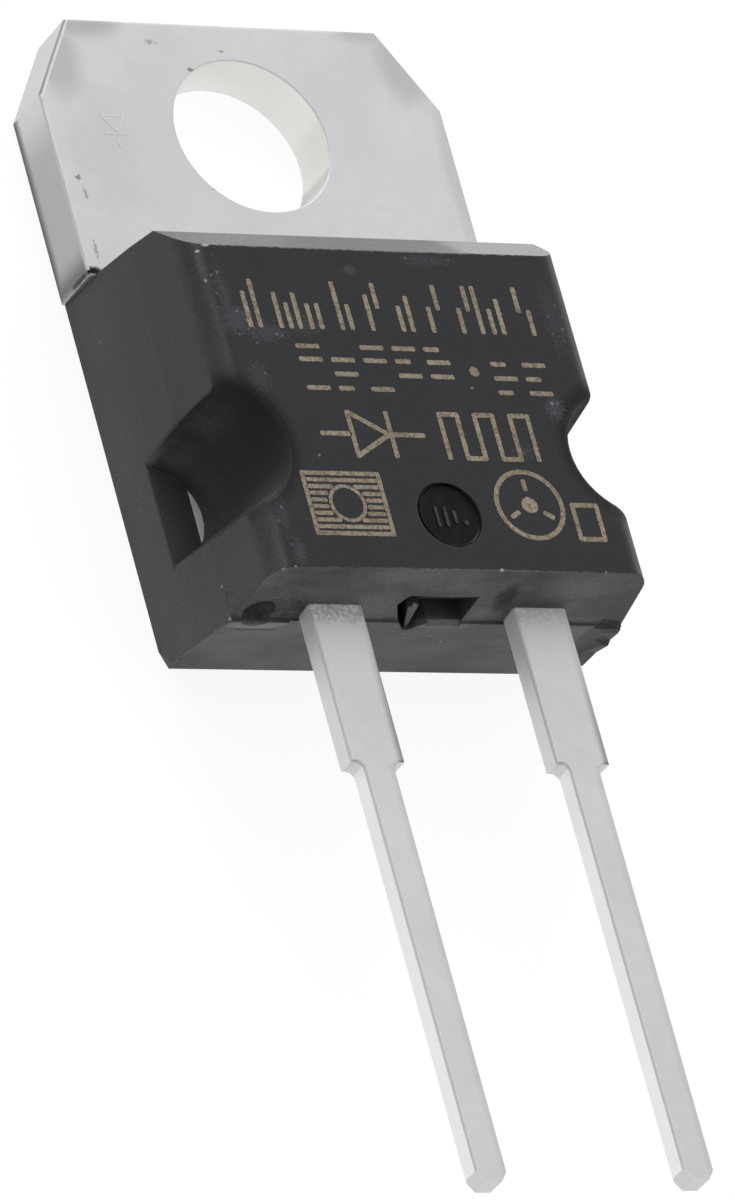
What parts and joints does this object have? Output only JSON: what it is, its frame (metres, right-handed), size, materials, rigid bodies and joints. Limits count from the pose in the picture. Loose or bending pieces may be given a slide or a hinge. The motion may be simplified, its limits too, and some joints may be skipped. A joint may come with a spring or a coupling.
{
  "type": "schottky diode",
  "caption": "Power diode in a flat moulded body with a metal mounting tab, a round hole through the tab and straight stepped leads.",
  "frame": {"origin": "centre of the mounting hole on the back face of the tab", "axes": "+Z out of the marked front face, +Y from the body to the tab's free end, +X to the right seen from the front with the leads down; the part lies on its back"},
  "size_m": [0.01, 0.0289, 0.0045],
  "materials": {
    "tinned_copper": "matt tin plating on stamped copper",
    "black_epoxy": "moulded epoxy, finely eroded surface",
    "silicon": "silicon chip with bright metal on its top",
    "soft_solder": "reflowed soft solder",
    "aluminium_wire": "drawn aluminium wire"
  },
  "bodies": {
    "root": {"cathode_leadframe": "tinned_copper", "anode_lead": "tinned_copper", "moulded_body": "black_epoxy", "schottky_die": "silicon", "die_solder": "soft_solder", "bond_wire_left": "aluminium_wire", "bond_wire_middle": "aluminium_wire", "bond_wire_right": "aluminium_wire"}
  },
  "joints": []
}
